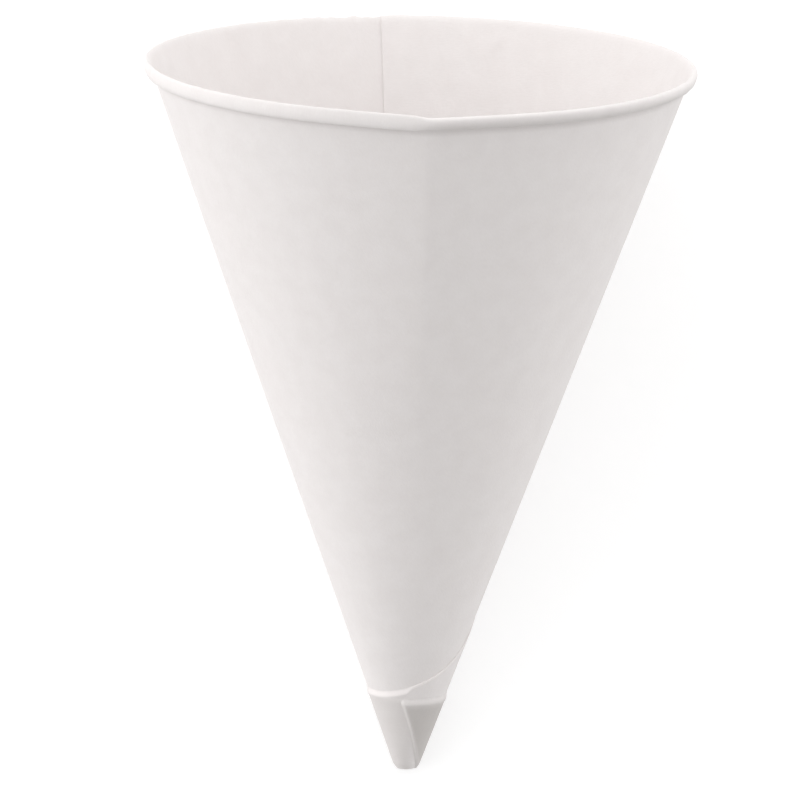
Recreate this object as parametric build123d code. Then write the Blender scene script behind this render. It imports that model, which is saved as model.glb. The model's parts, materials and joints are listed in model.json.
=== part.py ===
from build123d import *
from build123d.topology import SkipClean
import os
from math import acos, asin, atan, atan2, cos, degrees, hypot, pi, radians, sin, sqrt, tan

# A cone cup wound from one sheet of white paper, closed to a blunt tip and
# rolled outward at the rim. It is built standing on its tip, and then laid on
# its back, where the lap makes it heaviest and the soft roll has a small flat.

# Whole cup
cup_height = 95.0
mouth_diameter = 73.0
tip_diameter = 3.3
tip_closed = 3.0

# Paper, and the lap down the back, where the sheet's end crosses its start
paper = 0.18
lap_width = 5.0
lap_angle = 188.5
lap_climb = 18.0

# Rolled rim, an oval in section
roll_width = 1.0
roll_height = 1.5
roll_gap = 0.15
roll_lead = 0.20
hollow_facets = 7

# Flat that the roll rests on, and the turn over which the lap fills the roll
rest_angle = 180.0
rest_flat = 0.25
rest_filled = 18.0

# Outer end of the sheet, cut straight, and its tail wound on round the tip
tail_reach = 12.0
tail_drop = 0.8
tail_seam_top = -0.95
tail_seam_foot = 1.45
tail_seam_bow = 0.30

# Points along a climb and along the cut edge, and spare length of the cutters
climb_points = 7
edge_points = 13
spare = 4.0

os.makedirs("parts", exist_ok=True)

# The wall's mean surface is a cone. Its slope follows from the sizes at the rim
# and at the tip, and the roll leans with the wall, hence the loop.
half_across = roll_width / 2
half_along = roll_height / 2
half_angle = atan(mouth_diameter / 2 / cup_height)
for _ in range(8):
    ply = paper / cos(half_angle)
    tip_mean = tip_diameter / 2 - 2.5 * ply
    upward = Vector(sin(half_angle), 0, cos(half_angle))
    outward = Vector(cos(half_angle), 0, -sin(half_angle))
    reach_out = hypot(half_across * outward.X, half_along * upward.X)
    reach_up = hypot(half_along * upward.Z, half_across * outward.Z)
    roll_centre = Vector(mouth_diameter / 2 - reach_out, 0, cup_height - reach_up)
    roll_start = roll_centre - outward * (half_across - paper / 2)
    half_angle = atan((roll_start.X - tip_mean) / roll_start.Z)
slope = tan(half_angle)
wall_top = roll_start.Z - roll_lead * cos(half_angle)
apex_drop = tip_mean / slope

# Angles are counted from the front of the cup to its right, seen from there.
# The sheet starts at the lap angle and is wound towards smaller angles.
lap_edge = lap_angle - degrees(lap_width / roll_start.X)
climb_from = lap_angle + lap_climb
climb_to = lap_edge - lap_climb

# Foot of the straight cut: the point of it that is nearest to the cone's apex
foot_slant = apex_drop / cos(half_angle) + tail_reach
rim_slant = (roll_start.Z + apex_drop) / cos(half_angle)
cut_turn = degrees(acos(foot_slant / rim_slant)) / sin(half_angle)
foot_angle = lap_edge - cut_turn
foot_height = tail_reach * cos(half_angle)
tail_top = (tail_reach - tail_drop) * cos(half_angle)


def wall_radius(height, plies):
    """Radius at a height above the tip, a number of plies out of the mean wall."""
    return tip_mean + height * slope + plies * ply


def at(radius, angle, height):
    """Point at a radius, an angle and a height."""
    turn = radians(angle)
    return Vector(radius * sin(turn), -radius * cos(turn), height)


def off_wall(height, reach, angle):
    """Point that stands off the mean wall, square to it, by a radial reach."""
    return at(wall_radius(height, 0) + reach, angle, height - reach * slope)


def level(plies, start, end, height):
    """Two arcs of a ply that keeps its distance from the axis."""
    radius = wall_radius(height, plies)
    quarter = (end - start) / 4
    points = [at(radius, start + number * quarter, height) for number in range(5)]
    first = Edge.make_three_point_arc(points[0], points[1], points[2])
    return [first, Edge.make_three_point_arc(points[2], points[3], points[4])]


def climb(plies_start, plies_end, start, end, height):
    """Smooth curve of a ply that climbs onto the edge of the ply below it."""
    points = []
    for number in range(climb_points):
        share = number / (climb_points - 1)
        plies = plies_start + (plies_end - plies_start) * share**2 * (3 - 2 * share)
        angle = start + (end - start) * share
        points.append(at(wall_radius(height, plies), angle, height))
    return Edge.make_spline(points)


def step(plies_start, plies_end, angle, height):
    """Cut edge of a ply, square to the wall."""
    start = at(wall_radius(height, plies_start), angle, height)
    return Edge.make_line(start, at(wall_radius(height, plies_end), angle, height))


def side(stretches, height):
    """One side of the paper at a height, from stretches of plies and angles."""
    edges = []
    for plies_start, plies_end, start, end in stretches:
        if plies_start == plies_end:
            edges += level(plies_start, start, end, height)
        else:
            edges.append(climb(plies_start, plies_end, start, end, height))
    return edges


def outer_loop(height):
    """Outside of the first turn, with the step of the sheet's outer end."""
    over = [(0.5, 1, climb_from, lap_angle), (1, 1, lap_angle, lap_edge)]
    round_about = [(0, 0.5, lap_edge, climb_to), (0.5, 0.5, climb_to, climb_from - 360)]
    return Wire(side(over, height) + [step(1, 0, lap_edge, height)] + side(round_about, height))


def inner_loop(height):
    """Inside of the first turn, with the step where the sheet starts."""
    over = [(-0.5, 0, climb_from, lap_angle)]
    under = [(-1, -1, lap_angle, lap_edge), (-1, -0.5, lap_edge, climb_to)]
    round_about = [(-0.5, -0.5, climb_to, climb_from - 360)]
    edges = side(over, height) + [step(0, -1, lap_angle, height)]
    return Wire(edges + side(under + round_about, height))


def first_turn():
    """Wall of one ply with its lap, pressed solid at the tip."""
    outside = Solid.make_loft([outer_loop(0), outer_loop(wall_top)], True)
    hollow = Solid.make_loft([inner_loop(tip_closed), inner_loop(wall_top)], True)
    return outside - hollow


def later_turn(stretches, rooted, top):
    """Ply wound over the first turn, from the tip up to a height.

    Its inner side is sunk into the plies below it, because they are glued."""
    outline = []
    first, last = stretches[0], stretches[-1]
    for height in (0, top):
        edges = side(stretches, height)
        edges.append(step(last[1], rooted, last[3], height))
        edges += level(rooted, last[3], first[2], height)
        edges.append(step(rooted, first[0], first[2], height))
        outline.append(Wire(edges))
    return Solid.make_loft(outline, True)


def above_straight_cut():
    """Everything above the sheet's outer end.

    The edge is straight in the flat sheet. On the cone a run along it, from its
    foot, turns by the arc tangent of the run over the foot's slant distance."""
    past_rim = rim_slant + spare
    length = sqrt(past_rim**2 - foot_slant**2) + spare
    shares = [number / (edge_points - 1) for number in range(edge_points)]
    near, far = [], []
    sunk = 3 * ply
    for share in shares:
        run = length * (1 - share) - spare
        turn = degrees(atan(run / foot_slant)) / sin(half_angle)
        height = hypot(run, foot_slant) * cos(half_angle) - apex_drop
        near.append(off_wall(height, -sunk, foot_angle + turn))
        far.append(off_wall(height, mouth_diameter, foot_angle + turn))
    inner_edge = Edge.make_spline(near, parameters=shares)
    outer_edge = Edge.make_spline(far, parameters=shares)
    ramp = Face.make_surface_from_curves(inner_edge, outer_edge)
    return Solid.extrude(ramp, Vector(0, 0, 2 * (cup_height + mouth_diameter)))


def second_turn():
    """Ply below the straight cut, and the tail's first stretch from its foot on."""
    climbing = [(1, 1.5, lap_edge, climb_to), (1.5, 1.5, climb_to, foot_angle)]
    upper = later_turn(climbing, -0.25, wall_top) - above_straight_cut()
    tail = later_turn([(1.5, 1.5, foot_angle, climb_from - 360)], -0.25, foot_height)
    return upper + tail


def third_turn():
    """End of the tail, over the lap and the right side to the seam in front."""
    seam_end = degrees(asin(tail_seam_top / wall_radius(tail_top, 2.5))) - spare
    stretches = [
        (1.5, 2, climb_from, lap_angle),
        (2, 2, lap_angle, lap_edge),
        (2, 2.5, lap_edge, climb_to),
        (2.5, 2.5, climb_to, seam_end),
    ]
    top = Vector(tail_seam_top, 0, tail_top)
    foot = Vector(tail_seam_foot, 0, 0)
    middle = (top + foot) / 2 + Vector(tail_seam_bow, 0, 0)
    along = (top - foot).normalized() * spare
    left = Vector(-mouth_diameter, 0, 0)
    seam = Edge.make_three_point_arc(top, middle, foot)
    border = [
        Edge.make_line(top + along, top),
        seam,
        Edge.make_line(foot, foot - along),
        Edge.make_line(foot - along, foot - along + left),
        Edge.make_line(foot - along + left, top + along + left),
        Edge.make_line(top + along + left, top + along),
    ]
    beyond_seam = Solid.extrude(Face(Wire(border)), Vector(0, -mouth_diameter, 0))
    return later_turn(stretches, 0.25, tail_top) - beyond_seam


def on_roll(inset, turn):
    """Point of the roll, or inside it by an inset, turned from inside over the top."""
    across = (half_across - inset) * cos(turn)
    along = (half_along - inset) * sin(turn)
    return roll_centre - outward * across + upward * along


def oval(inset, start, end):
    """Part of the roll's oval between two turns, as quarter arcs of an ellipse."""
    plane = Plane(roll_centre, x_dir=-outward, z_dir=(-outward).cross(upward))
    radii = (half_across - inset, half_along - inset)
    return Edge.make_ellipse(*radii, plane, degrees(start), degrees(end))


def roll_section(facets):
    """Top of the wall, rolled outward until its edge stands a gap off the wall.

    A single facet inside, from the free edge to the wall, makes it a filled roll."""
    free_turn = 2 * pi - acos((half_across - paper - roll_gap) / half_across)
    hollow = []
    for number in range(facets + 1):
        hollow.append(on_roll(paper, free_turn * (1 - number / facets)))
    root_inside = Vector(wall_radius(wall_top, -0.5), 0, wall_top)
    root_outside = Vector(wall_radius(wall_top, 0.5), 0, wall_top)
    border = [
        Edge.make_line(root_inside, on_roll(0, 0)),
        oval(0, 0, free_turn),
        Edge.make_line(on_roll(0, free_turn), on_roll(paper, free_turn)),
        *[Edge.make_line(*pair) for pair in zip(hollow, hollow[1:])],
        Edge.make_line(on_roll(paper, 0), root_outside),
        Edge.make_line(root_outside, root_inside),
    ]
    return Face(Wire(border))


def rolled_rim():
    """Rim rolled hollow all round, apart from where the lap fills it at the back."""
    start = rest_angle - 90 - rest_filled / 2
    filled = Solid.revolve(roll_section(1), rest_filled, Axis.Z)
    rest = Solid.revolve(roll_section(hollow_facets), 360 - rest_filled, Axis.Z)
    return Rot(Z=start) * filled + Rot(Z=start + rest_filled) * rest


def rest_tilt():
    """Angle in degrees between the cup's axis and the floor it lies on.

    The floor touches the corner of the wound tip and the flat of the roll, whose
    reach across that line depends a little on the angle, hence the loop."""
    corner = Vector(wall_radius(0, 2.5) * cos(radians(rest_angle - climb_to)), 0, 0)
    span = roll_centre - corner
    tilt = half_angle
    for _ in range(8):
        lean = tilt - half_angle
        reach = hypot(half_across * cos(lean), half_along * sin(lean)) - rest_flat
        tilt = atan2(span.X, span.Z) + asin(reach / span.length)
    return degrees(tilt)


def lying(cup):
    """The cup on its back, mouth towards +Y, with the flat pressed into the roll."""
    laid = Rot(X=rest_tilt() - 90) * Rot(Z=180 - rest_angle) * cup
    box = laid.bounding_box()
    laid = Pos(-box.center().X, -box.center().Y, -box.min.Z - rest_flat) * laid
    below = Pos(0, cup_height / 2, -spare / 2) * Box(mouth_diameter, cup_height / 2, spare)
    return laid - below


# Faces that meet in one surface stay separate, because joining them would bend
# the long edge of the cut away from its surface.
with SkipClean():
    wound = first_turn() + rolled_rim() + second_turn() + third_turn()
    cone_cup = lying(wound)
export_step(cone_cup, "parts/cone_cup.step")
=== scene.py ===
import json
from math import radians

import bpy
import numpy as np
from mathutils import Matrix, Vector


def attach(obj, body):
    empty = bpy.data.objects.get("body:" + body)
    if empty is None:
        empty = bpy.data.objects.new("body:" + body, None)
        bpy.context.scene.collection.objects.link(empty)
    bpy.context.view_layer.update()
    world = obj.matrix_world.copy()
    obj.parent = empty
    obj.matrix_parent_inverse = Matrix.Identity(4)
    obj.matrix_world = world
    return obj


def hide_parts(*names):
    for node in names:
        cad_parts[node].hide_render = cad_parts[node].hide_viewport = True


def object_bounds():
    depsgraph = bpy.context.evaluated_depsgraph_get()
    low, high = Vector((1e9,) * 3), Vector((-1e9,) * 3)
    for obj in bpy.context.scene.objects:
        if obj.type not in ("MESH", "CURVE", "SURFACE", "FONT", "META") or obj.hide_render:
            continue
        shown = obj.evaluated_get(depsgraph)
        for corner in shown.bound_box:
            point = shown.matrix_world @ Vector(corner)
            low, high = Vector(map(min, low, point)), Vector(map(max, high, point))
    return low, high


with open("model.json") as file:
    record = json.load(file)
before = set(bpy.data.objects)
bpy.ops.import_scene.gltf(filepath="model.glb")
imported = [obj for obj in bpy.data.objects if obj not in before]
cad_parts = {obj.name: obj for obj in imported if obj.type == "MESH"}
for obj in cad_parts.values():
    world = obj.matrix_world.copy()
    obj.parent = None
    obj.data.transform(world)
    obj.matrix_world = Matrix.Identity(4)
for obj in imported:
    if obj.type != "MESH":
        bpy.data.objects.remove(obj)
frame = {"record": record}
cad_low, cad_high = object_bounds()

# The wound sheet. One piece of white uncoated cup paper, wound into a cone with a
# narrow lap down the back. Its outer end is cut straight, so it spirals down the
# right side, and its tail is wound on round the tip and glued.

# Lengths are in metres. Angles are in degrees from the front towards the right, and
# turns round the roll are in radians.
paper = 0.00018
air = 0.000008
cup_height = 0.095
mouth_radius = (cad_high.x - cad_low.x) / 2
tip_radius = 0.00165
roll_width = 0.0010
roll_height = 0.0020
plies_at_tip = 2.5
tail_reach = 0.012
tail_drop = 0.0008
lap_angle = 188.5
lap_turn = 8.0
climb_turn = 18.0
holder_share = 0.62

# The cup's place: its axis runs through the mount where a holder's ring grips it.
holder = frame["record"]["mounts"][0]
axis = np.array(holder["axis"]) / np.linalg.norm(holder["axis"])
tip = np.array(holder["pos_m"]) - holder_share * cup_height * axis
right = np.array([1.0, 0.0, 0.0])
front = np.cross(right, axis)

# The wall's slope follows from the radii at the rim and at the tip. The roll leans
# with the wall, so each round works the slope out again with the last one's lean.
slope_rounds = 8
wall_angle = np.arctan(mouth_radius / cup_height)
for _ in range(slope_rounds):
    roll_out = np.hypot(roll_width / 2 * np.cos(wall_angle), roll_height / 2 * np.sin(wall_angle))
    roll_up = np.hypot(roll_height / 2 * np.cos(wall_angle), roll_width / 2 * np.sin(wall_angle))
    roll_middle = np.array([mouth_radius - roll_out, cup_height - roll_up])
    across = np.array([np.cos(wall_angle), -np.sin(wall_angle)])
    along = np.array([np.sin(wall_angle), np.cos(wall_angle)])
    wall_end = roll_middle - across * (roll_width - paper) / 2
    tip_mean = tip_radius - plies_at_tip * paper / np.cos(wall_angle)
    wall_angle = np.arctan((wall_end[0] - tip_mean) / wall_end[1])
apex_drop = tip_mean / np.tan(wall_angle)
tip_slant = apex_drop / np.cos(wall_angle)
rim_slant = (wall_end[1] + apex_drop) / np.cos(wall_angle)
foot_slant = tip_slant + tail_reach

# Turns along the sheet from its start in the lap, in degrees.
turn_of_cut = np.degrees(np.arccos(foot_slant / rim_slant)) / np.sin(wall_angle)
cut_start = 360 + lap_turn
cut_foot = cut_start + turn_of_cut
tail_start = 720 - climb_turn


def smooth(share):
    """Ease from 0 to 1: three times the square less twice the cube of the share."""
    share = np.clip(share, 0, 1)
    return share * share * (3 - 2 * share)


def apart(angle, middle):
    """Signed angle from a middle angle, from -180 to 180 degrees."""
    return (angle - middle + 180) % 360 - 180


def hump(angle, middle, spread):
    """1 at the middle angle and round-topped: e to the minus square of the angle
    apart over the spread."""
    return np.exp(-((apart(angle, middle) / spread) ** 2))


def crest(angle, middle, spread, blunt):
    """1 at the middle angle and nearly pointed: e to the minus of a hyperbola's rise,
    which is blunt over a few degrees, over the spread."""
    rise = np.hypot(apart(angle, middle), blunt) - blunt
    return np.exp(-rise / spread)


def ply_offset(turn):
    """How far out a ply's middle lies, in plies: half a ply more each time it climbs.

    It climbs before and after each crossing of the lap, over climb_turn degrees."""
    offset = -0.5 + 0.5 * smooth((turn - lap_turn) / climb_turn)
    for crossing in (360, 720):
        offset += 0.5 * smooth((turn - crossing + climb_turn) / climb_turn)
        offset += 0.5 * smooth((turn - crossing - lap_turn) / climb_turn)
    return offset


def top_slant(turn):
    """Slant distance of the sheet's upper edge from the apex.

    Along the straight cut it is the foot's distance over the cosine of the turn
    from the foot in the flat sheet. Past the foot the tail drops a little."""
    flat = radians(1) * np.sin(wall_angle) * np.clip(cut_foot - turn, 0, turn_of_cut)
    drop = tail_drop * smooth((turn - cut_foot) / (tail_start - cut_foot))
    return foot_slant / np.cos(flat) - drop


# The seam in front, where the tail ends: how far right of the middle it lies at the
# tip, how far to the left it runs on its way up, and four times its bow.
seam_right = 0.00145
seam_run = 0.00240
seam_bow = 0.0012


def tail_end(slant):
    """Turn at which the tail ends: seen from the front, its edge is a bowed line."""
    share = np.clip((slant - tip_slant) / (tail_reach - tail_drop), 0, 1)
    side = seam_right - seam_run * share + seam_bow * share * (1 - share)
    radius = slant * np.sin(wall_angle) + 2 * paper
    return 720 + lap_angle - np.degrees(np.arcsin(side / radius))


# The cone isn't quite round. A soft fold runs down its front, and a shallow valley
# down each side of the lap. Both grow towards the rim.
oval_depth = 0.00020
oval_angle = 25
fold_height = 0.00100
fold_angle = 2.5
fold_spread = 11.0
fold_blunt = 1.0
fold_start = 0.40
fold_growth = 0.55
valley_depth = 0.00090
valley_width = 32.0
valley_spread = 10.0
valley_blunt = 1.2
valley_start = 0.15
valley_growth = 0.6
# The lap's crest has this value on the line on which the cup rests, so that the
# valley leaves that line where it is.
valley_level = 0.477


def large_forms(angle, share):
    """Oval, fold and valley, by the share of the way up the wall: a cosine of twice
    the angle, plus a crest, less a hump times what the lap's crest leaves of the
    valley's level."""
    out = oval_depth * share**2 * np.cos(np.radians(2 * (angle - oval_angle)))
    grown = smooth((share - fold_start) / fold_growth)
    out += fold_height * grown * crest(angle, fold_angle, fold_spread, fold_blunt)
    lap_crest = crest(angle, lap_angle, valley_spread, valley_blunt)
    round_lap = hump(angle, lap_angle, valley_width) * (valley_level - lap_crest)
    grown = smooth((share - valley_start) / valley_growth)
    return out - valley_depth * grown * round_lap


wave_numbers = (3, 5, 7, 9, 12, 16, 21, 27, 34, 43)
wave_height = 0.00009
wave_bend = 1.5
bends_up_wall = 3


def faint_waves(angle, share):
    """Lines along the wall: cosines of so many waves a turn, lower the more there
    are, growing up the wall and bent to and fro by a sine of the share."""
    rng = np.random.default_rng(11)
    out = 0 * angle
    for waves in wave_numbers:
        phase, drift = rng.uniform(0, 2 * np.pi, 2)
        bend = wave_bend * np.sin(bends_up_wall * share + drift)
        wave = np.cos(np.radians(waves * angle) + phase + bend)
        out += wave_height / waves * share * wave
    return out


pucker_numbers = (57, 38)
pucker_shift = 40
pucker_height = 0.000012
pucker_at_lap = 0.00011
pucker_angle = 196.5
pucker_spread = 6.5
pucker_reach = 0.0022
crease_depth = 0.00024
crease_angle = 162.6
crease_radius = 0.034
crease_start = 0.0020
crease_middle = 0.0022
crease_slant = 0.6
crease_width = 0.0005
crease_length = 0.0012


def marks_under_roll(angle, below_rim):
    """What the rolling leaves: a pucker of two cosines, strongest by the lap, that
    dies away below the rim, less one short dent, a bell across and along its line."""
    first, second = pucker_numbers
    waves = np.cos(np.radians(first * angle)) + np.cos(np.radians(second * angle + pucker_shift))
    height = pucker_height + pucker_at_lap * hump(angle, pucker_angle, pucker_spread)
    pucker = height * waves * np.exp(-np.abs(below_rim) / pucker_reach)
    sideways = apart(angle, crease_angle) * radians(1) * crease_radius
    beside = (sideways - (below_rim - crease_start) * crease_slant) / crease_width
    over = (below_rim - crease_middle) / crease_length
    return pucker - crease_depth * np.exp(-(beside**2) - over**2)


tip_rounding = 0.00022
tip_rounded_over = 0.0008


def unevenness(angle, slant):
    """How far the wall stands out from a true cone: the sum of the large forms, the
    waves and the marks under the roll, less the rounding of the pressed tip."""
    share = slant / rim_slant
    out = large_forms(angle, share) + faint_waves(angle, share)
    out += marks_under_roll(angle, rim_slant - slant)
    from_tip = tip_slant + tip_rounded_over - slant
    return out - tip_rounding * smooth(from_tip / tip_rounded_over)


# The roll is pinched where the fold in front runs into it, and swollen and crinkled
# over the lap, where two plies were rolled together.
pinch_angle = 1.5
pinch_spread = 1.3
pinch = 0.16
swell_spread = 7.0
swell = 0.10
crinkle_numbers = (41, 67, 97, 131)
crinkle_share = 0.010
crinkle_at_lap = 0.045
crinkle_angle = 197
crinkle_spread = 9.0


def crinkle(angle):
    """Share by which the roll is larger or smaller: cosines of short waves, higher
    over the lap, less the pinch's hump, and the swelling's hump."""
    rng = np.random.default_rng(5)
    size = 0 * angle
    for waves in crinkle_numbers:
        size += np.cos(np.radians(waves * angle) + rng.uniform(0, 2 * np.pi))
    height = crinkle_share + crinkle_at_lap * hump(angle, crinkle_angle, crinkle_spread)
    swollen = swell * hump(angle, lap_angle - lap_turn / 2, swell_spread)
    return size * height - pinch * hump(angle, pinch_angle, pinch_spread) + swollen


# Right of the pinch the roll is a rounder oval, and left of it a slimmer one. Its
# underside leans inward, but outward on the right, where its free edge has lifted at
# one place.
rounder_share = 0.07
rounder_spread = 70
rounder_over = 1.5
lean_inward = 0.25
lean_on_right = 0.45
lean_border = 3
lean_end = 120
lean_fade = 60
lift_angle = 68
lift_spread = 13.0
lift_share = 0.088
lift_start = 3.4
lift_growth = 1.6


def meridian(slant, roll_turn, angle):
    """Middle line of the wall and the roll, as radius and height, with its normal.

    Up to the rim it is the wall's straight line. Past it the line follows an oval
    leaning with the wall, by the cosine and the sine of the roll's turn. The oval's
    size, its lean past the top and its last stretch vary round the cup."""
    size = 1 + crinkle(angle)
    from_pinch = apart(angle, pinch_angle)
    rounder = rounder_share * np.tanh(from_pinch / rounder_over) * hump(angle, 0, rounder_spread)
    half_across = (roll_width - paper) / 2 * size * (1 + rounder)
    half_along = (roll_height - paper) / 2 * size / (1 + rounder)
    lift = lift_share * hump(angle, lift_angle, lift_spread)
    turned = roll_turn * (1 - lift * smooth((roll_turn - lift_start) / lift_growth))
    wide = half_across * np.cos(turned)
    high = half_along * np.sin(turned)
    start = wall_end + across * half_across[..., None]
    on_right = smooth((from_pinch + lean_border) / (2 * lean_border))
    on_right = on_right * smooth((lean_end - np.abs(apart(angle, 0))) / lean_fade)
    lean_out = lean_on_right * on_right - lean_inward
    wide = wide - lean_out * high * (1 - np.cos(turned)) / 2
    rolled = start - across * wide[..., None] + along * high[..., None]
    inward_across = np.cos(turned) / half_across
    inward_along = -np.sin(turned) / half_along
    length = np.hypot(inward_across, inward_along)
    roll_normal = across * (inward_across / length)[..., None]
    roll_normal = roll_normal + along * (inward_along / length)[..., None]
    straight = along * slant[..., None] - np.array([0, apex_drop])
    on_wall = (roll_turn <= 0)[..., None]
    return np.where(on_wall, straight, rolled), np.where(on_wall, across, roll_normal)


# The sheet's edges. The cut is crisp down the side. From the turn pressed_from on,
# round the front left and the tail, the edge, stuck down with glue, is pressed to a
# rounded shoulder with a faint groove under it. Drops and rises are in plies, widths in metres.
pressed_from = 538
pressed_over = 12
crisp_drop = 0.25
crisp_width = 0.00005
pressed_drop = 0.55
pressed_width = 0.00078
shoulder_rise = 0.40
groove_width = 0.0005
lip_drop = 0.85
lip_width = 0.00045
lip_rise = 0.25
lip_fade = 0.0006


def pressed_edge(turn):
    """Share to which the edge, stuck down with glue, is pressed: it eases in over a few degrees.
    """
    return smooth((turn - pressed_from) / pressed_over)


def edge_shape(turn, slant):
    """Change of the outer side near the sheet's edges, in plies: an eased drop at
    the cut, which is deeper where it is pressed and has the shoulder's rise behind
    it, and the same at the tail's end for the lip."""
    below = top_slant(turn) - slant
    pressed = pressed_edge(turn)
    width = crisp_width + pressed_width * pressed
    rise = crisp_drop + (pressed_drop + shoulder_rise) * pressed
    shape = -crisp_drop - pressed_drop * pressed + rise * smooth(below / width)
    shape -= shoulder_rise * pressed * smooth((below - width) / groove_width)
    shape = np.where(turn > cut_start, shape, 0)
    to_end = (tail_end(slant) - turn) * radians(1) * (slant * np.sin(wall_angle) + 2 * paper)
    on_lip = smooth(to_end / lip_width)
    past_lip = smooth((to_end - lip_width) / lip_fade)
    return shape - lip_drop * (1 - on_lip) + lip_rise * on_lip * (1 - past_lip)


def in_place(radius, height, angle):
    """Point at a radius, a height above the tip and an angle from the front."""
    turn = np.radians(angle)
    sideways = (radius * np.sin(turn))[..., None] * right
    forward = (radius * np.cos(turn))[..., None] * front
    return tip + height[..., None] * axis + sideways + forward


def sides_of_sheet(turn, slant, roll_turn):
    """Points of the outer and the inner side: the middle line at each turn, moved
    along its normal by the ply's offset, half the paper and the unevenness.

    Where the outer side would pass below the floor, both are lifted onto it."""
    angle = lap_angle - turn
    middle, normal = meridian(slant, roll_turn, angle)
    uneven = unevenness(angle, slant)
    offset = ply_offset(turn) * paper
    half = (paper - air) / 2
    shape = np.where(roll_turn > 0, 0, edge_shape(turn, slant)) * paper
    sides = []
    for move in (offset + half + shape, offset - half):
        place = middle + normal * move[..., None] + across * uneven[..., None]
        sides.append(in_place(place[..., 0], place[..., 1], angle))
    lift = np.maximum(0, -np.minimum(sides[0][..., 2], sides[1][..., 2]))
    for side in sides:
        side[..., 2] += lift
    return sides


def spaced(stops, steps):
    """Values from the first stop to the last, in so many even steps between each two."""
    stretches = zip(stops[:-1], stops[1:], steps)
    values = [np.linspace(start, end, count, endpoint=False) for start, end, count in stretches]
    return np.append(np.concatenate(values), stops[-1])


# Rows run up the sheet from the tip, over the roll to its free edge. Columns run
# along the sheet from its start, closer together at the edges and the crinkles.
# The last stretch, past seam_from, is drawn out to the tail's bowed end.
start_ends = 6
crinkles_from = 318
climb_ends = 400
seam_from = 760
close_rows_from = 0.9
roll_steps = 24
edge_gap = paper + 0.00015
wall_rows = spaced((0, close_rows_from, 1), (29, 14))
roll_end = 2 * np.pi - np.arccos((roll_width / 2 - edge_gap) / (roll_width / 2))
roll_rows = np.linspace(0, roll_end, roll_steps + 1)[1:]
first_columns = spaced((0, start_ends, crinkles_from, cut_start), (9, 269, 103))
later_columns = spaced((cut_start, climb_ends, seam_from, seam_from + 1), (32, 189, 89))

turns, rows = np.meshgrid(first_columns, wall_rows)
wall_slants = tip_slant + (rim_slant - tip_slant) * rows
roll_turns = np.meshgrid(first_columns, roll_rows)[1]
first_turn = np.concatenate([turns, np.tile(first_columns, (len(roll_rows), 1))])
first_slant = np.concatenate([wall_slants, np.full(roll_turns.shape, rim_slant)])
first_roll = np.concatenate([np.zeros(turns.shape), roll_turns])

# In the later turns the top rows ease from the first turn's spacing to these places
# close under the cut edge, in hundredths of a millimetre below it.
edge_rows = np.array([170, 140, 120, 105, 95, 85, 75, 65, 55, 45, 35, 25, 15, 8, 3, 0]) * 1e-5
rows_settle_over = 140
later_turn, rows = np.meshgrid(later_columns, wall_rows)
tall = top_slant(later_turn) - tip_slant
lower = len(wall_rows) - len(edge_rows)
clustered = np.linspace(0, 1, lower, endpoint=False)[:, None] * (1 - edge_rows[0] / tall[0])
clustered = np.concatenate([clustered, 1 - edge_rows[:, None] / tall[0]])
blend = smooth((later_turn - cut_start) / rows_settle_over)
later_slant = tip_slant + tall * ((1 - blend) * rows + blend * clustered)
drawn_turn = seam_from + (tail_end(later_slant) - seam_from) * (later_turn - seam_from)
later_turn = np.where(later_turn > seam_from, drawn_turn, later_turn)

first_outside, first_inside = sides_of_sheet(first_turn, first_slant, first_roll)
later_outside, later_inside = sides_of_sheet(later_turn, later_slant, np.zeros(later_turn.shape))


def joined(grid):
    """Quads between neighbouring rows and columns of a grid of vertex numbers."""
    corners = (grid[:-1, :-1], grid[:-1, 1:], grid[1:, 1:], grid[1:, :-1])
    return np.stack(corners, -1).reshape(-1, 4)


# Vertex numbers: the later turns share their first column with the first turn.
first_grid = np.arange(first_turn.size).reshape(first_turn.shape)
shared = first_grid[: len(wall_rows), -1:]
more = np.arange(later_turn[:, 1:].size).reshape(later_turn[:, 1:].shape) + first_turn.size
later_grid = np.concatenate([shared, more], 1)
per_side = first_turn.size + more.size


def border(grid_first, grid_later):
    """Vertex numbers once round the sheet's edge, from the start of the lap: along
    the tip, up the tail's end, back along the cut and the roll, and down again."""
    roll_side = grid_first[len(wall_rows):, -1]
    return np.concatenate(
        [
            grid_first[0, :],
            grid_later[0, 1:],
            grid_later[1:, -1],
            grid_later[-1, -2::-1],
            roll_side,
            grid_first[-1, -2::-1],
            grid_first[-2:0:-1, 0],
        ]
    )


outside_border = border(first_grid, later_grid)
inside_border = outside_border + per_side
edge_ring = np.stack([outside_border, inside_border])
edge_ring = np.concatenate([edge_ring, edge_ring[:, :1]], 1)

# The point of the cone is pressed solid: a plug of paper inside the plies, domed
# above where the drink ends and nearly flat below.
plug_rings = 14
plug_spokes = 72
plug_sunk = 0.6 * paper
plug_base = 0.00012
plug_top = 0.0030
plug_dome = 0.0003
base_share = 0.35
side_share = 0.30
plug_uneven = 0.00003
base_pole = 0.00014
dome_pole = plug_top + 0.00045


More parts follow.
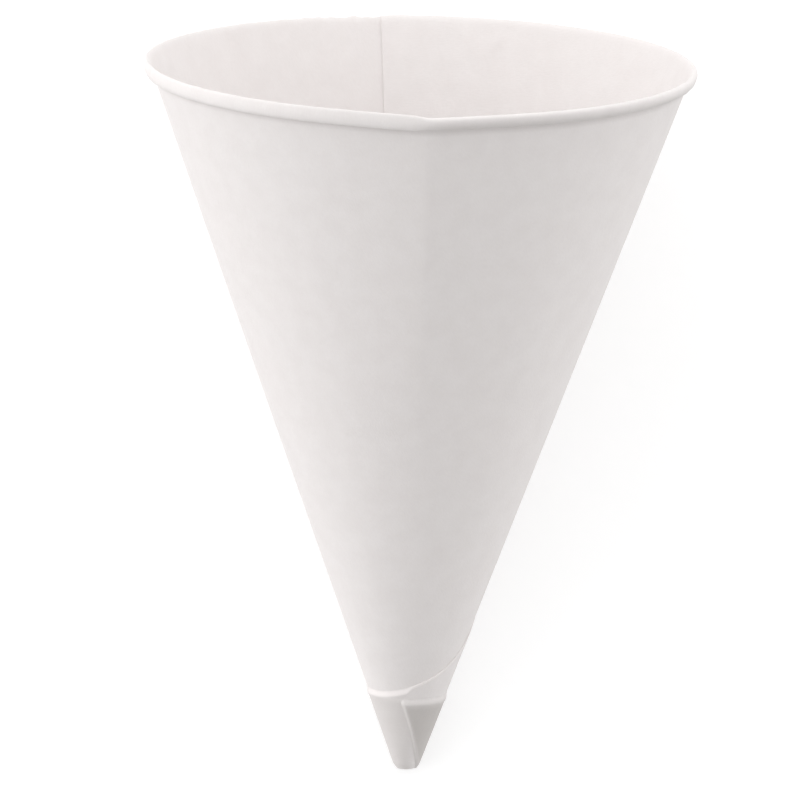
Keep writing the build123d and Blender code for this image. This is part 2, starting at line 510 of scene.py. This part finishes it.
def pressed_tip():
    """Closed plug: a profile of radius and height turned round the axis, with its rim
    sunk into the innermost ply. Two cosines that wind round it make it uneven."""
    spokes = np.linspace(0, 360, plug_spokes, endpoint=False)
    spoke, ring = np.meshgrid(spokes, np.arange(1, plug_rings))
    share = ring / plug_rings
    under = np.clip(share / base_share, 0, 1)
    over = np.clip((share - base_share) / side_share, 0, 1)
    cap = np.clip((share - base_share - side_share) / (1 - base_share - side_share), 0, 1)
    height = plug_base + over * plug_top + plug_dome * cap
    radius = tip_mean - plug_sunk + height * np.tan(wall_angle)
    radius = radius * np.where(share < base_share, under, 1 - cap)
    uneven = np.cos(np.radians(5 * spoke + 300 * share))
    uneven += np.cos(np.radians(3 * spoke - 500 * share))
    height = height + plug_uneven * uneven * (1 - (radius / radius.max()) ** 2)
    body = in_place(radius, height, spoke).reshape(-1, 3)
    poles = np.array([tip + base_pole * axis, tip + dome_pole * axis])
    grid = np.arange(body.shape[0]).reshape(radius.shape)
    grid = np.concatenate([grid, grid[:, :1]], 1)
    below = np.stack([grid[0, 1:], grid[0, :-1], np.full(plug_spokes, len(body))], -1)
    above = np.stack([grid[-1, :-1], grid[-1, 1:], np.full(plug_spokes, len(body) + 1)], -1)
    return np.concatenate([body, poles]), joined(grid), np.concatenate([below, above])


plug_points, plug_quads, plug_ends = pressed_tip()
outside = np.concatenate([first_outside.reshape(-1, 3), later_outside[:, 1:].reshape(-1, 3)])
inside = np.concatenate([first_inside.reshape(-1, 3), later_inside[:, 1:].reshape(-1, 3)])
points = np.concatenate([outside, inside, plug_points])
outer_quads = np.concatenate([joined(first_grid), joined(later_grid)])[:, ::-1]
inner_quads = outer_quads[:, ::-1] + per_side
edge_quads = joined(edge_ring)
quads = np.concatenate([outer_quads, inner_quads, edge_quads, plug_quads + 2 * per_side])

crisp_from = radians(50)
cup_mesh = bpy.data.meshes.new("wound_cup")
cup_mesh.from_pydata(points, [], quads.tolist() + (plug_ends + 2 * per_side).tolist())
cup_mesh.update()
cup_mesh.shade_smooth()
cup_mesh.set_sharp_from_angle(angle=crisp_from)

# Where each point lies in the flat sheet, in metres, so that the fibres run on
# through the lap. The inner side is the other face of the paper, set apart. On the
# roll, a radian of its turn counts as roll_step along the sheet.
roll_step = 0.0006
set_apart = 0.5
turn_all = np.concatenate([first_turn.ravel(), later_turn[:, 1:].ravel()])
roll_all = np.concatenate([first_roll.ravel(), np.zeros(more.size)])
slant_all = np.concatenate([first_slant.ravel(), later_slant[:, 1:].ravel()])
slant_all = slant_all + roll_all * roll_step
flat_angle = np.radians(turn_all) * np.sin(wall_angle)
flat_sheet = np.stack([slant_all * np.cos(flat_angle), slant_all * np.sin(flat_angle)], -1)
flat_plug = (plug_points - tip) @ np.stack([right, front], -1)
flat = np.concatenate([flat_sheet, flat_sheet + set_apart, flat_plug - set_apart])
corner_vertex = np.empty(len(cup_mesh.loops), np.int32)
cup_mesh.loops.foreach_get("vertex_index", corner_vertex)
sheet_map = cup_mesh.uv_layers.new(name="flat_sheet")
sheet_map.uv.foreach_set("vector", flat[corner_vertex].astype(np.float32).ravel())


def mark(name, outer, inner, plug):
    """Keep a share at every point: of the outer side, of the inner side, and one for
    the whole plug."""
    shares = np.concatenate([outer, inner, np.full(len(plug_points), plug)])
    kept = cup_mesh.attributes.new(name, "FLOAT", "POINT")
    kept.data.foreach_set("value", shares.astype(np.float32))


# Painted shade on the tail and the tip: all of it is painted greyer, more where the
# tail's end lies on top, right of the seam, and less along its lip. The shade starts a
# little below the foot of the cut, and its border is softer towards the seam.
tail_shade_from = 500
tail_shade_over = 60
tail_shade_below_foot = 0.0006
softer_from = 740
softer_over = 60
tail_shade_border = 0.0010 + 0.0010 * smooth((turn_all - softer_from) / softer_over)
tail_shade_share = 0.45
shade_right_of_seam = 0.55
plug_shade = 0.8
top_from = 770
top_over = 40
unshaded_lip = 0.0002
unshaded_lip_border = 0.0005
tail_shade = smooth((turn_all - tail_shade_from) / tail_shade_over)
tail_shade = tail_shade * smooth((foot_slant - tail_shade_below_foot - slant_all) / tail_shade_border)
from_lip = (tail_end(slant_all) - turn_all) * radians(1) * slant_all * np.sin(wall_angle)
on_top = smooth((turn_all - top_from) / top_over) * smooth((from_lip - unshaded_lip) / unshaded_lip_border)
tail_shade = tail_shade * (tail_shade_share + shade_right_of_seam * on_top)
mark("tail_shade", tail_shade, tail_shade, plug_shade)

# Painted highlight on the sheet's cut end: a thin pale line down the side, where the
# edge catches the light, and a wider one on the left, where the pressed shoulder faces up into
# it.
line_soft_above = 0.00006
line_soft_below = 0.00024
pale_from = 440
pale_to = 640
pale_fade = 40
below_cut = top_slant(turn_all) - slant_all
pale_width = 0.00042 + 0.00050 * pressed_edge(turn_all)
pale = smooth(below_cut / line_soft_above) * smooth((pale_width - below_cut) / line_soft_below)
in_front = smooth((turn_all - pale_from) / pale_fade) * smooth((pale_to - turn_all) / pale_fade)
edge_highlight = np.where(turn_all > cut_start, pale * in_front, 0)
mark("edge_highlight", edge_highlight, 0 * edge_highlight, 0)

# Painted shade: a grey line on the outer side close under the roll, where the roll
# shades the wall, and a greyer underside of the roll, which is the paper's inner side,
# most of all on the right, where it is turned away from the light.
line_below_rim = 0.00142
line_width = 0.00026
line_grey = 0.36
underside_from = 2.6
underside_over = 1.2
underside_grey = 0.02
greyer_on_right = 0.45
greyer_border = 4
greyer_end = 84
greyer_fade = 20
angle_all = lap_angle - turn_all
from_line = (rim_slant - slant_all - line_below_rim) / line_width
on_wall = (roll_all <= 0) * (turn_all < cut_start)
line = line_grey * np.exp(-(from_line**2)) * on_wall
on_right = smooth((apart(angle_all, pinch_angle) + greyer_border) / (2 * greyer_border))
on_right = on_right * smooth((greyer_end - apart(angle_all, 0)) / greyer_fade)
underside = smooth((roll_all - underside_from) / underside_over)
underside = underside * (underside_grey + greyer_on_right * on_right)
mark("under_roll_shade", line, underside, 0)


def node(tree, kind, place, **settings):
    """A shader node of that kind at a place, with its plain settings."""
    made = tree.nodes.new("ShaderNode" + kind)
    made.location = (place[0] * 200, place[1] * 200)
    for name, value in settings.items():
        setattr(made, name, value)
    return made


def noise_on(tree, source, place, size, detail, stretch=1.0):
    """Noise whose patches are about size metres, longer along the sheet by stretch."""
    spread = node(tree, "Mapping", place)
    spread.inputs["Scale"].default_value = (1 / size, 1 / (size * stretch), 1)
    noise = node(tree, "TexNoise", (place[0] + 1, place[1]), noise_dimensions="2D")
    noise.inputs["Scale"].default_value = 1.0
    noise.inputs["Detail"].default_value = detail
    tree.links.new(source, spread.inputs["Vector"])
    tree.links.new(spread.outputs["Vector"], noise.inputs["Vector"])
    return noise.outputs["Fac"]


def toned(tree, place, base, share, colour, way="MULTIPLY"):
    """The base colour, multiplied by another one or mixed with it, by a share."""
    mixed = node(tree, "Mix", place, data_type="RGBA", blend_type=way)
    mixed.inputs["B"].default_value = (*colour, 1)
    tree.links.new(share, mixed.inputs["Factor"])
    tree.links.new(base, mixed.inputs["A"])
    return mixed.outputs["Result"]


def mark_of(tree, place, name):
    """The share that mark has kept under a name."""
    return node(tree, "Attribute", place, attribute_name=name).outputs["Fac"]


def added(tree, place, first, second):
    """The sum of two values."""
    total = node(tree, "Math", place, operation="ADD")
    tree.links.new(first, total.inputs[0])
    tree.links.new(second, total.inputs[1])
    return total.outputs["Value"]


darker_cloud = (0.826, 0.792, 0.784)
lighter_cloud = (0.846, 0.814, 0.807)
warm_tint = (1.0, 0.993, 0.990)
fibre_tint = (0.955, 0.950, 0.945)
# Grey for the painted shade on the tail and the tip.
tail_shade_tint = (0.70, 0.695, 0.68)
# Pale colour for the painted highlight along the cut edge.
edge_highlight_colour = (0.89, 0.845, 0.835)
# Grey for the painted shade under the roll and on its underside.
under_roll_shade_grey = (0.72, 0.71, 0.70)
relief_depth = 0.00003


def white_paper():
    """Uncoated paper: cloudy in tone, with fibres in its colour and its relief."""
    made = bpy.data.materials.new("white_cup_paper")
    made.use_nodes = True
    tree = made.node_tree
    shader = tree.nodes["Principled BSDF"]
    shader.inputs["Specular IOR Level"].default_value = 0.35
    shader.inputs["Sheen Weight"].default_value = 0.06
    shader.inputs["Sheen Roughness"].default_value = 0.6
    sheet = node(tree, "UVMap", (-8, 0), uv_map="flat_sheet").outputs["UV"]
    clouds = noise_on(tree, sheet, (-7, 3), 0.0030, 4.0)
    warm = noise_on(tree, sheet, (-7, 2), 0.0140, 2.0)
    fibres = noise_on(tree, sheet, (-7, 1), 0.00018, 3.0, 4.0)
    cross_fibres = noise_on(tree, sheet, (-7, 0), 0.0009, 4.0, 0.35)
    felt = noise_on(tree, sheet, (-7, -1), 0.0007, 3.0)

    tone = node(tree, "MapRange", (-4, 3))
    tone.inputs["From Min"].default_value = 0.3
    tone.inputs["From Max"].default_value = 0.7
    tree.links.new(clouds, tone.inputs["Value"])
    cloudy = node(tree, "Mix", (-3, 3), data_type="RGBA")
    cloudy.inputs["A"].default_value = (*darker_cloud, 1)
    cloudy.inputs["B"].default_value = (*lighter_cloud, 1)
    tree.links.new(tone.outputs["Result"], cloudy.inputs["Factor"])
    colour = toned(tree, (-2, 3), cloudy.outputs["Result"], warm, warm_tint)
    colour = toned(tree, (-1, 3), colour, fibres, fibre_tint)
    # Painted shade: the tail and the tip made greyer, most right of the seam.
    colour = toned(tree, (0, 3), colour, mark_of(tree, (-1, 5), "tail_shade"), tail_shade_tint)
    # Painted highlight: a pale line along the cut edge, wider on the pressed shoulder.
    colour = toned(tree, (1, 3), colour, mark_of(tree, (0, 5), "edge_highlight"), edge_highlight_colour, "MIX")
    # Painted shade: a grey line under the roll and a greyer underside of the roll.
    colour = toned(tree, (2, 3), colour, mark_of(tree, (1, 5), "under_roll_shade"), under_roll_shade_grey)
    tree.links.new(colour, shader.inputs["Base Color"])

    rough = node(tree, "MapRange", (-3, 0))
    rough.inputs["To Min"].default_value = 0.62
    rough.inputs["To Max"].default_value = 0.82
    tree.links.new(cross_fibres, rough.inputs["Value"])
    tree.links.new(rough.outputs["Result"], shader.inputs["Roughness"])
    relief = added(tree, (-3, -1), added(tree, (-4, -1), fibres, cross_fibres), felt)
    bump = node(tree, "Bump", (-2, -1))
    bump.inputs["Strength"].default_value = 0.5
    bump.inputs["Distance"].default_value = relief_depth
    tree.links.new(relief, bump.inputs["Height"])
    tree.links.new(bump.outputs["Normal"], shader.inputs["Normal"])
    return made


cup = bpy.data.objects.new("wound_cup", cup_mesh)
bpy.context.collection.objects.link(cup)
cup_mesh.materials.append(white_paper())
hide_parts("cone_cup")
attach(cup, "root")

# The table it lies on, a plain white sheet of card. Seen directly it is lifted to
# white, and it keeps the cup's soft shadow.
floor_reach = 4.0
card_white = (0.90, 0.90, 0.90)
card_white_seen = (0.60, 0.60, 0.60)
card_own_light = 0.50


def white_card():
    """Matt white. To the camera's, glossy and clear rays it is darker, but has a
    little light of its own."""
    made = bpy.data.materials.new("white_card")
    made.use_nodes = True
    tree = made.node_tree
    shader = tree.nodes["Principled BSDF"]
    shader.inputs["Roughness"].default_value = 0.9
    shader.inputs["Emission Color"].default_value = (1, 1, 1, 1)
    rays = node(tree, "LightPath", (-4, 0))
    seen = node(tree, "Math", (-3, 0), operation="MAXIMUM")
    tree.links.new(rays.outputs["Is Camera Ray"], seen.inputs[0])
    tree.links.new(rays.outputs["Is Glossy Ray"], seen.inputs[1])
    seen_through = node(tree, "Math", (-2, 0), operation="MAXIMUM")
    tree.links.new(seen.outputs["Value"], seen_through.inputs[0])
    tree.links.new(rays.outputs["Is Transmission Ray"], seen_through.inputs[1])
    shade = node(tree, "Mix", (-1, 2), data_type="RGBA")
    shade.inputs["A"].default_value = (*card_white, 1)
    shade.inputs["B"].default_value = (*card_white_seen, 1)
    tree.links.new(seen_through.outputs["Value"], shade.inputs["Factor"])
    tree.links.new(shade.outputs["Result"], shader.inputs["Base Color"])
    own_light = node(tree, "Math", (-1, 0), operation="MULTIPLY")
    own_light.inputs[1].default_value = card_own_light
    tree.links.new(seen_through.outputs["Value"], own_light.inputs[0])
    tree.links.new(own_light.outputs["Value"], shader.inputs["Emission Strength"])
    return made


floor_mesh = bpy.data.meshes.new("table")
corners = [(-1, -1, 0), (1, -1, 0), (1, 1, 0), (-1, 1, 0)]
floor_mesh.from_pydata([Vector(corner) * floor_reach for corner in corners], [], [(0, 1, 2, 3)])
floor_mesh.materials.append(white_card())
table = bpy.data.objects.new("table", floor_mesh)
bpy.context.collection.objects.link(table)

# Soft studio light: a white room, brighter beyond the mouth than beyond the tip, a
# very large lamp to the left, and a small weak one to the right.
light_beyond_tip = 0.28
light_beyond_mouth = 1.44
left_lamp_place = Vector((-0.90, 0.0, 0.35))
left_lamp_size = 1.0
left_lamp_power = 4.5
right_lamp_place = Vector((0.50, 0.10, 0.22))
right_lamp_size = 0.35
right_lamp_power = 0.45
aimed_at_share = 0.55

world = bpy.data.worlds.new("white_room")
bpy.context.scene.world = world
world.use_nodes = True
room = world.node_tree
background = room.nodes["Background"]
background.inputs["Color"].default_value = (1, 1, 1, 1)
direction = node(room, "TexCoord", (-6, 0))
parts = node(room, "SeparateXYZ", (-5, 0))
level = node(room, "MapRange", (-4, 0))
level.inputs["From Min"].default_value = -1.0
level.inputs["To Min"].default_value = light_beyond_tip
level.inputs["To Max"].default_value = light_beyond_mouth
rays = node(room, "LightPath", (-4, -2))
strength = node(room, "Mix", (-2, 0), data_type="FLOAT")
strength.inputs["B"].default_value = 1.0
room.links.new(direction.outputs["Generated"], parts.inputs["Vector"])
room.links.new(parts.outputs["Y"], level.inputs["Value"])
room.links.new(rays.outputs["Is Camera Ray"], strength.inputs["Factor"])
room.links.new(level.outputs["Result"], strength.inputs["A"])
room.links.new(strength.outputs["Result"], background.inputs["Strength"])

cup_middle = Vector(tip + aimed_at_share * cup_height * axis)


def large_lamp(name, place, side, power):
    """Square lamp at a place, turned to face the cup's middle."""
    lamp_data = bpy.data.lights.new(name, "AREA")
    lamp_data.size = side
    lamp_data.energy = power
    lamp = bpy.data.objects.new(name, lamp_data)
    lamp.location = place
    lamp.rotation_mode = "QUATERNION"
    lamp.rotation_quaternion = (cup_middle - place).to_track_quat("-Z", "Y")
    bpy.context.collection.objects.link(lamp)


large_lamp("left_lamp", left_lamp_place, left_lamp_size, left_lamp_power)
large_lamp("right_lamp", right_lamp_place, right_lamp_size, right_lamp_power)

# The camera looks at the cup's front from a little above the mouth's plane, from
# far away, and is turned so that the tip lies to the left of the mouth.
camera_distance = 1.6
view_above_mouth = radians(10.1)
picture_side = 800
mouth_width_in_pixels = 555.5
metres_per_pixel = 2 * mouth_radius / mouth_width_in_pixels
mouth_pixel = (420.2, 63.4)
lean = radians(1.2)
film_width = 36

mouth = tip + cup_height * axis
towards = np.cos(view_above_mouth) * front + np.sin(view_above_mouth) * axis
straight_up = np.cos(view_above_mouth) * axis - np.sin(view_above_mouth) * front
picture_up = np.cos(lean) * straight_up - np.sin(lean) * right
picture_right = np.cos(lean) * right + np.sin(lean) * straight_up
right_of_middle = (mouth_pixel[0] - picture_side / 2) * metres_per_pixel
above_middle = (picture_side / 2 - mouth_pixel[1]) * metres_per_pixel
aim = mouth - right_of_middle * picture_right - above_middle * picture_up
place = mouth + camera_distance * towards

back = (place - aim) / np.linalg.norm(place - aim)
side = np.cross(picture_up, back)
side /= np.linalg.norm(side)
turned = Matrix(np.stack([side, np.cross(back, side), back], -1).tolist())
camera_data = bpy.data.cameras.new("camera")
camera_data.sensor_width = film_width
camera_data.lens = film_width * camera_distance / (picture_side * metres_per_pixel)
camera_data.clip_end = 20
camera = bpy.data.objects.new("camera", camera_data)
camera.matrix_world = Matrix.Translation(Vector(place)) @ turned.to_4x4()
bpy.context.collection.objects.link(camera)
bpy.context.scene.camera = camera
bpy.context.scene.view_settings.view_transform = "Standard"
